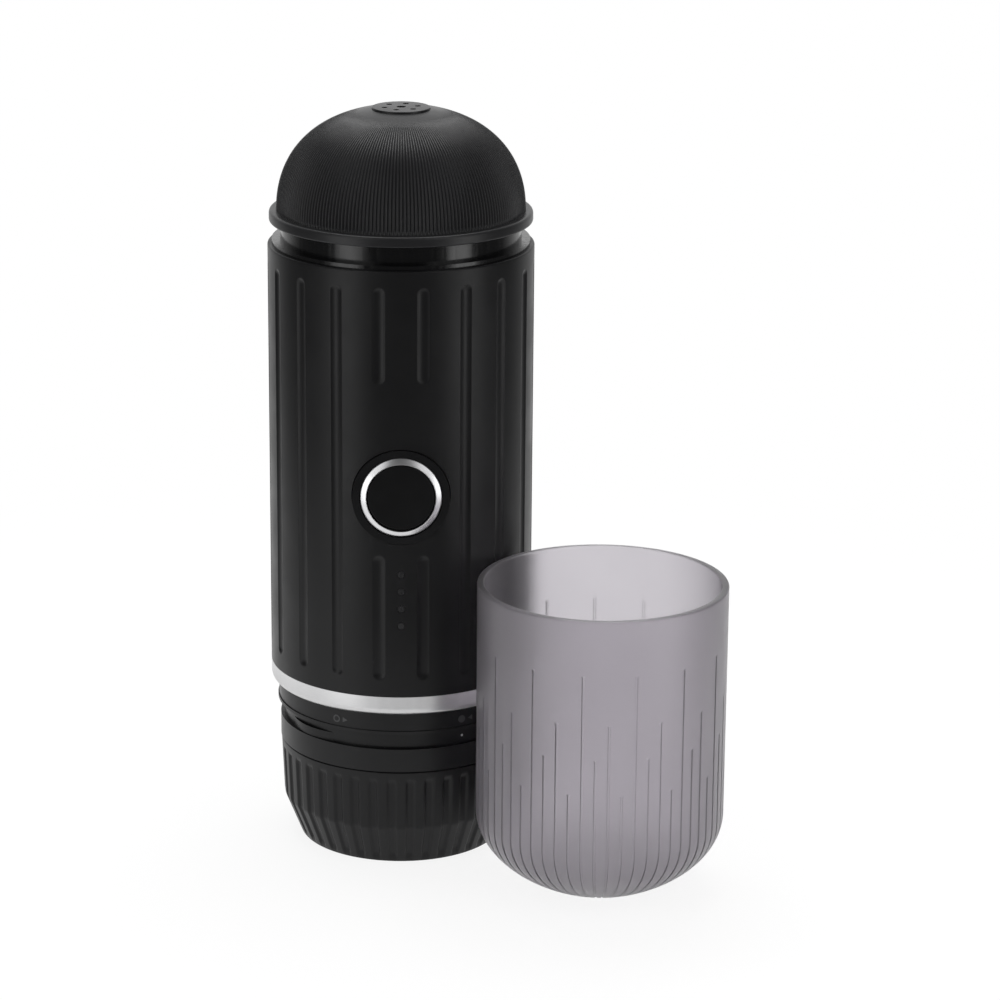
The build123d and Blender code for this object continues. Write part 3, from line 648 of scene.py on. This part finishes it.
rib_count = 208
rib_depth = 0.42
rib_end_radius = 10.0
rib_fade = 9.0
rib_start = 0.9
rib_sharpness = 1.8
rib_taper = 1.5
rib_columns = 6
rib_foot_margin = 0.05
rib_edge_margin = 0.3
rib_seat_margin = 0.5
lid_crease = 50.0
lid_wall = 2.0
skirt_radius = 30.2
skirt_bore = 28.2
seal_groove = 1.0
dome_radius = 34.9
dome_rise = 28.75
dome_fullness = 0.62
dome_steps = 90
dome_inner_steps = 40
skirt_edge = 0.3
flange_height = 3.0
flange_edge = 1.2
flange_foot_edge = 0.6
stem_hole = 7.0
vent_seat_depth = 0.65
vent_gap = 0.15
vent_stem_radius = 6.9
vent_stem_edge = 0.2
vent_hole_radius = 0.85
vent_middle_hole = 1.3
vent_hole_ring = 4.75
vent_hole_count = 6
vent_hole_turn = radians(14)
vent_edge = 0.15
vent_crease = 30.0
vent_hole_sides = 32
vent_hole_reach = 1


def bezier(start, first, second, end, steps):
    """Points of a cubic curve, as radius and height."""
    share = np.linspace(0, 1, steps + 1)[:, None]
    rest = 1 - share
    ends = rest ** 3 * np.array(start) + share ** 3 * np.array(end)
    return ends + 3 * rest * share * (rest * np.array(first) + share * np.array(second))


def dome_curve(radius, foot, rise, steps):
    """The dome's outline from its foot to its apex."""
    top = foot + rise
    return bezier((radius, foot), (radius, foot + dome_fullness * rise),
                  (dome_fullness * radius, top), (0, top), steps)


def outside(curve, radius):
    """The part of a closing outline beyond a radius, ended exactly on it."""
    kept = curve[curve[:, 0] > radius]
    level = np.interp(-radius, -curve[:, 0], curve[:, 1])
    return [tuple(point) for point in kept] + [(radius, level)]


def make_lid():
    neck_top = neck_high[2]
    lid_top = neck_top + flange_height
    flange = lid_high[0]
    seat_level = vent_high[2] - vent_seat_depth
    seat = skirt_radius - seal_groove
    skirt = [(skirt_bore, lid_low[2], skirt_edge), (skirt_radius, lid_low[2], skirt_edge),
             (skirt_radius, seal_low[2]), (seat, seal_low[2]),
             (seat, seal_high[2]), (skirt_radius, seal_high[2])]
    rim = [(skirt_radius, neck_top), (flange, neck_top, flange_foot_edge), (flange, lid_top, flange_edge)]
    recess = vent_high[0] + vent_gap
    dome = outside(dome_curve(dome_radius, lid_top, dome_rise, dome_steps), recess)
    inner = dome_curve(dome_radius - lid_wall, lid_top, dome_rise - lid_wall, dome_inner_steps)
    inner = outside(inner, stem_hole)
    seat_corners = [(recess, seat_level), (stem_hole, seat_level)]
    corners = skirt + rim + dome + seat_corners + inner[::-1] + [(skirt_bore, lid_top)]
    points = profile(*corners)
    outline = np.array(dome[::-1])
    edge_level = np.interp(points[:, 0], outline[:, 0], outline[:, 1])
    above_foot = points[:, 1] > lid_top + rib_foot_margin
    outer_face = points[:, 1] > edge_level - rib_edge_margin
    on_dome = above_foot & outer_face & (points[:, 0] > recess + rib_seat_margin)

    def rib_depths(angles, points):
        wave = 0.5 - 0.5 * np.cos(rib_count * angles)
        radius = points[:, 0]
        fade = smooth_step(radius - rib_end_radius, rib_fade) * (radius / dome_radius) ** rib_taper
        start = smooth_step(points[:, 1] - lid_top, rib_start)
        return (fade * start * on_dome)[:, None] * (wave ** rib_sharpness)[None, :] * rib_depth

    angles = np.linspace(0, 2 * pi, rib_count * rib_columns, endpoint=False)
    lid = lathe("lid_dome", points, angles, rib_depths, sharp=lid_crease)
    dress(lid, "lid_plastic", "lid", "dome_lid")


def make_vent():
    """The vent disc on its seat, with a middle hole in a ring of smaller ones."""
    edge = vent_high[0]
    foot = vent_low[2]
    top = vent_high[2]
    seat_level = top - vent_seat_depth
    corners = [(0, foot), (vent_stem_radius, foot, vent_stem_edge), (vent_stem_radius, seat_level),
               (edge, seat_level), (edge, top, vent_edge), (0, top)]
    vent = lathe("vent", profile(*corners), sharp=vent_crease)
    low = foot - vent_hole_reach
    high = top + vent_hole_reach
    holes = [rod("hole_cutter", vent_middle_hole, low, high, vent_hole_sides)]
    for index in range(vent_hole_count):
        turn = vent_hole_turn + 2 * pi * index / vent_hole_count
        hole = rod("hole_cutter", vent_hole_radius, low, high, vent_hole_sides)
        holes.append(shift(hole, vent_hole_ring * cos(turn), vent_hole_ring * sin(turn)))
    cut(vent, holes)
    dress(vent, "vent_plastic", "lid", "vent_disc")


# Grip bowl

grip_count = 40
grip_depth = 0.6
grip_share = 0.3
bowl_foot = 29.1
cone_top = 12.0
cone_radius = 33.95
bowl_wall = 2.4
bowl_floor = 2.5
bowl_foot_edge = 0.5
bowl_bend = 2.2
bowl_rim_edge = 0.25
cone_shares = np.linspace(0.12, 0.9, 14)
wall_shares = np.linspace(0.12, 0.97, 24)
grip_columns = 20
grip_edge = 0.6
grip_margin = 0.6
grip_foot = 0.8
grip_foot_fade = 1.5
grip_head = 2.0
grip_head_fade = 1.2
outlet_radius = 3.3
outlet_place = 8
outlet_low = -1
outlet_high = 4
outlet_sides = 48


def make_bowl():
    top = bowl_high[2]
    rim = bowl_high[0]
    corners = [(0, 0), (bowl_foot, 0, bowl_foot_edge)]
    corners += [(bowl_foot + (cone_radius - bowl_foot) * share, cone_top * share) for share in cone_shares]
    corners += [(cone_radius, cone_top, bowl_bend)]
    corners += [(cone_radius + (rim - cone_radius) * share, cone_top + (top - cone_top) * share)
                for share in wall_shares]
    corners += [(rim, top, bowl_rim_edge), (rim - bowl_wall, top), (cone_radius - bowl_wall, cone_top),
                (bowl_foot - bowl_wall, bowl_floor), (0, bowl_floor)]
    points = profile(*corners)

    def grip_depths(angles, points):
        pitch = 2 * pi / grip_count
        across = np.abs(np.mod(angles + pi / 2, pitch) / pitch - 0.5)
        shape = smooth_step(grip_share - across, grip_share * grip_edge)
        height = points[:, 1]
        wall = np.interp(height, (0, cone_top, top), (bowl_foot, cone_radius, rim))
        outer = points[:, 0] > wall - grip_margin
        ends = smooth_step(height - grip_foot, grip_foot_fade)
        ends = ends * smooth_step(top - grip_head - height, grip_head_fade)
        return (ends * outer)[:, None] * shape[None, :] * grip_depth

    angles = np.linspace(0, 2 * pi, grip_count * grip_columns, endpoint=False)
    bowl = lathe("bowl", points, angles, grip_depths)
    holes = []
    for side in (-1, 1):
        hole = rod("outlet_cutter", outlet_radius, outlet_low, outlet_high, outlet_sides)
        holes.append(shift(hole, side * outlet_place, 0))
    cut(bowl, holes)
    dress(bowl, "bowl_plastic", "brew_head", "grip_bowl")


# Drinking cup

cup_wall = 2.0
cup_flat = 6.0
cup_corner = 23.5
cup_foot_handle = 0.15
cup_side_handle = 0.69
line_count = 60
line_phase = radians(-101.4)
line_width = 0.7
line_depth = 0.4
line_side = 0.3
line_tops = (74.4, 50.5, 60.4, 40.3)
line_top_fade = 0.5
line_end_radius = 12.0
line_end_fade = 2.0
line_columns = (0.4, 0.75, 1.1)
line_gap_columns = (0.22, 0.42)
cup_rim_edge = 0.6
cup_foot_steps = 40
cup_inner_steps = 24
cup_inner_stride = 6
cup_crease = 60.0


def corner_curve(radius, floor, steps):
    """The rounded bottom corner, from the flat to the wall, as radius and height."""
    reach = radius - cup_flat
    rise = cup_corner - floor
    return [tuple(point) for point in bezier(
        (cup_flat, floor), (cup_flat + cup_foot_handle * reach, floor),
        (radius, cup_corner - cup_side_handle * rise), (radius, cup_corner), steps)]


def make_cup():
    height = cup_high[2]
    radius = (cup_high[0] - cup_low[0]) / 2
    levels = fine_levels(cup_corner + 1, height - 2, line_tops, fine=0.3, reach=1.2, coarse=4.0)
    outer = [(0, 0)] + corner_curve(radius, 0, cup_foot_steps) + [(radius, level) for level in levels]
    bore = radius - cup_wall
    rim = [(radius, height, cup_rim_edge), (bore, height, cup_rim_edge)]
    inner = [(bore, level) for level in levels[::-cup_inner_stride]]
    inner += corner_curve(bore, cup_wall, cup_inner_steps)[::-1] + [(0, cup_wall)]
    points = profile(*outer, *rim, *inner)

    def line_depths(angles, points):
        pitch = 2 * pi / line_count
        place = (angles - line_phase) / pitch
        index = np.round(place)
        across = np.abs(place - index) * pitch
        order = np.mod(index, len(line_tops)).astype(int)
        tops = np.array(line_tops)[order]
        level = points[:, 1][:, None]
        reach = points[:, 0][:, None]
        half = line_width / 2
        shape = smooth_step(half - across[None, :] * reach, half * line_side)
        below_top = smooth_step(tops[None, :] - level, line_top_fade)
        beyond = smooth_step(reach - line_end_radius, line_end_fade)
        on_outside = np.arange(len(points))[:, None] < len(outer)
        return shape * below_top * beyond * on_outside * line_depth

    pitch = 2 * pi / line_count
    half = line_width / 2 / radius
    beside = [share * half for share in line_columns] + [share * pitch for share in line_gap_columns]
    offsets = np.array([-offset for offset in beside[::-1]] + [0.0] + beside)
    centres = line_phase + np.arange(line_count) * pitch
    angles = (centres[:, None] + offsets[None, :]).ravel()
    cup = lathe("cup", points, angles, line_depths, (cup_x, cup_y), sharp=cup_crease)
    dress(cup, "cup_plastic", "cup", "drinking_cup")


# Marks on the collar and the ring

marker_angle = 30.8
marker_radius = 0.35
recess_radius = 33.65
recess_height = 4.5
ring_rise = 11.6
marker_height = bowl_high[2] + ring_rise - recess_height / 2
collar_radius = 35.3
turn_to_open = 60.0
mark_size = 1.1
mark_lift = 0.06
mark_thickness = 0.1
pointer_distance = 1.5
pointer_size = 0.7
hollow_share = 0.6
hollow_lift = 1.5


def curved_mark(name, outline, radius, level, angle, lift, body, finish):
    """A slim mark in the given finish, bent round the machine at an angle from the front."""
    places = []
    for out in (lift, lift - mark_thickness):
        distance = radius + out
        for across, up in outline:
            turn = radians(angle) + across / radius
            places.append((distance * sin(turn) * MM, -distance * cos(turn) * MM, (level + up) * MM))
    piece = prism(name, places)
    piece.data.materials.append(finish)
    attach(piece, body)


circle_sides = 32


def circle(radius, across=0.0):
    turns = [2 * pi * index / circle_sides for index in range(circle_sides)]
    return [(across + radius * cos(turn), radius * sin(turn)) for turn in turns]


def wedge(across, size, side):
    """A small triangle that points to one side."""
    return [(across - side * size, -size), (across + side * size, 0), (across - side * size, size)][::side]


def make_marks():
    """A dot on the ring, and plain marks on the collar where it stands open and closed, whose grey is a
    painted highlight for embossed relief.
    """
    curved_mark("marker_dot", circle(marker_radius), recess_radius, marker_height, marker_angle, mark_lift,
                "brew_head", mark_ink)
    level = (collar_low[2] + band_low[2]) / 2
    for name, angle in (("closed_mark", marker_angle), ("open_mark", marker_angle - turn_to_open)):
        outer = circle(mark_size, -mark_size)
        curved_mark(name, outer, collar_radius, level, angle, mark_lift, "machine", embossed_mark_highlight)
        side = 1 if name == "open_mark" else -1
        pointer = wedge(mark_size * pointer_distance, mark_size * pointer_size, side)
        curved_mark(name + "_pointer", pointer, collar_radius, level, angle, mark_lift, "machine", embossed_mark_highlight)
    hollow = circle(mark_size * hollow_share, -mark_size)
    curved_mark("open_mark_hollow", hollow, collar_radius, level, marker_angle - turn_to_open,
                mark_lift * hollow_lift, "machine", finishes["collar_plastic"])


# Floor, world and lights

floor_front = 0.21
floor_side = 0.35
floor_back = 0.45
floor_colour = 0.95
floor_rough = 0.7
floor_specular = 0.1
floor_glow = 0.87
floor_near = 0.2
floor_far = 0.35
shade_glow = 0.3
through_glow = 0.95
shade_near = 0.02
shade_far = 0.075
world_fill = 0.55
world_front = 0.08
world_mirrored = (0.35, 0.95)
world_through = (-0.6, 0.2)
box_distance = 0.55
box_foot = -0.2
box_middle = 0.25
box_head = 0.75
left_box_angle = radians(-49)
left_box_width = 0.25
left_box_power = 0.62
right_box_angle = radians(56)
right_box_width = 0.23
right_box_power = 0.66
high_box_angle = radians(43)
high_box_width = 0.36
high_box_power = 0.55
top_box_place = (0.0, 0.22, 0.95)
top_box_size = (0.7, 0.5)
top_box_power = 6.0
top_box_target = (0, 0, 0.2)


def make_floor():
    """A pale floor that turns white away from the object, and shows its shade through the cup."""
    mesh = bpy.data.meshes.new("floor")
    mesh.from_pydata([(-floor_side, -floor_front, 0), (floor_side, -floor_front, 0),
                      (floor_side, floor_back, 0), (-floor_side, floor_back, 0)], [], [(0, 1, 2, 3)])
    floor = add_object("floor", mesh)
    nodes = Nodes("floor")
    nodes.shader.inputs["Base Color"].default_value = (floor_colour, floor_colour, floor_colour, 1)
    nodes.shader.inputs["Roughness"].default_value = floor_rough
    nodes.shader.inputs["Specular IOR Level"].default_value = floor_specular
    path = nodes.add("ShaderNodeLightPath")
    direct = nodes.maximum(path.outputs["Is Camera Ray"], path.outputs["Is Glossy Ray"])
    open_glow = nodes.range(nodes.distance((0, 0, 0)), floor_glow, 1.0, floor_near, floor_far)
    cup_foot = (cup_x * MM, cup_y * MM, 0)
    shaded_glow = nodes.range(nodes.distance(cup_foot), shade_glow, through_glow, shade_near, shade_far)
    through = nodes.product(path.outputs["Is Transmission Ray"], shaded_glow)
    share = nodes.maximum(nodes.product(direct, open_glow), through)
    glow = nodes.add("ShaderNodeEmission")
    mix = nodes.add("ShaderNodeMixShader")
    nodes.link(share, mix.inputs[0])
    nodes.link(nodes.shader.outputs[0], mix.inputs[1])
    nodes.link(glow.outputs[0], mix.inputs[2])
    nodes.link(mix.outputs[0], nodes.tree.nodes["Material Output"].inputs["Surface"])
    floor.data.materials.append(nodes.material)


def make_world():
    """White to the camera; mirrored or seen through the cup, dim in front and white behind."""
    world = bpy.data.worlds.new("studio")
    bpy.context.scene.world = world
    world.use_nodes = True
    tree = world.node_tree
    path = tree.nodes.new("ShaderNodeLightPath")
    place = tree.nodes.new("ShaderNodeTexCoord")
    split = tree.nodes.new("ShaderNodeSeparateXYZ")
    tree.links.new(place.outputs["Generated"], split.inputs[0])
    strength = None
    for kind, (start, end), front in (("Is Glossy Ray", world_mirrored, world_front),
                                      ("Is Transmission Ray", world_through, world_front),
                                      ("Is Camera Ray", (0, 1), 1.0)):
        back = tree.nodes.new("ShaderNodeMapRange")
        back.inputs["From Min"].default_value = start
        back.inputs["From Max"].default_value = end
        back.inputs["To Min"].default_value = front
        back.inputs["To Max"].default_value = 1.0
        tree.links.new(split.outputs["Y"], back.inputs["Value"])
        mix = tree.nodes.new("ShaderNodeMix")
        tree.links.new(path.outputs[kind], mix.inputs["Factor"])
        if strength is None:
            mix.inputs["A"].default_value = world_fill
        else:
            tree.links.new(strength, mix.inputs["A"])
        tree.links.new(back.outputs["Result"], mix.inputs["B"])
        strength = mix.outputs["Result"]
    background = tree.nodes["Background"]
    background.inputs["Color"].default_value = (1, 1, 1, 1)
    tree.links.new(strength, background.inputs["Strength"])


def area_light(name, place, target, size, power):
    """A soft box that the camera doesn't see."""
    data = bpy.data.lights.new(name, "AREA")
    data.shape = "RECTANGLE"
    data.size, data.size_y = size
    data.energy = power
    light = add_object(name, data)
    light.location = place
    aim = Vector(target) - Vector(place)
    light.rotation_euler = aim.to_track_quat("-Z", "Y").to_euler()
    light.visible_camera = False


def side_box(name, angle, width, power, foot, head):
    """An upright soft box beside the floor, at an angle from the front."""
    level = (foot + head) / 2
    place = (box_distance * sin(angle), -box_distance * cos(angle), level)
    area_light(name, place, (0, 0, level), (width, head - foot), power)


def make_lights():
    side_box("left_box", left_box_angle, left_box_width, left_box_power, box_foot, box_middle)
    side_box("right_box", right_box_angle, right_box_width, right_box_power, box_foot, box_middle)
    side_box("high_left_box", -high_box_angle, high_box_width, high_box_power, box_middle, box_head)
    side_box("high_right_box", high_box_angle, high_box_width, high_box_power, box_middle, box_head)
    area_light("top_box", top_box_place, top_box_target, top_box_size, top_box_power)


make_camera()
dress_nodes()
make_shell()
make_button_ring()
make_lid()
make_vent()
make_bowl()
make_cup()
make_marks()
make_floor()
make_world()
make_lights()

bpy.context.scene.view_settings.view_transform = "Standard"
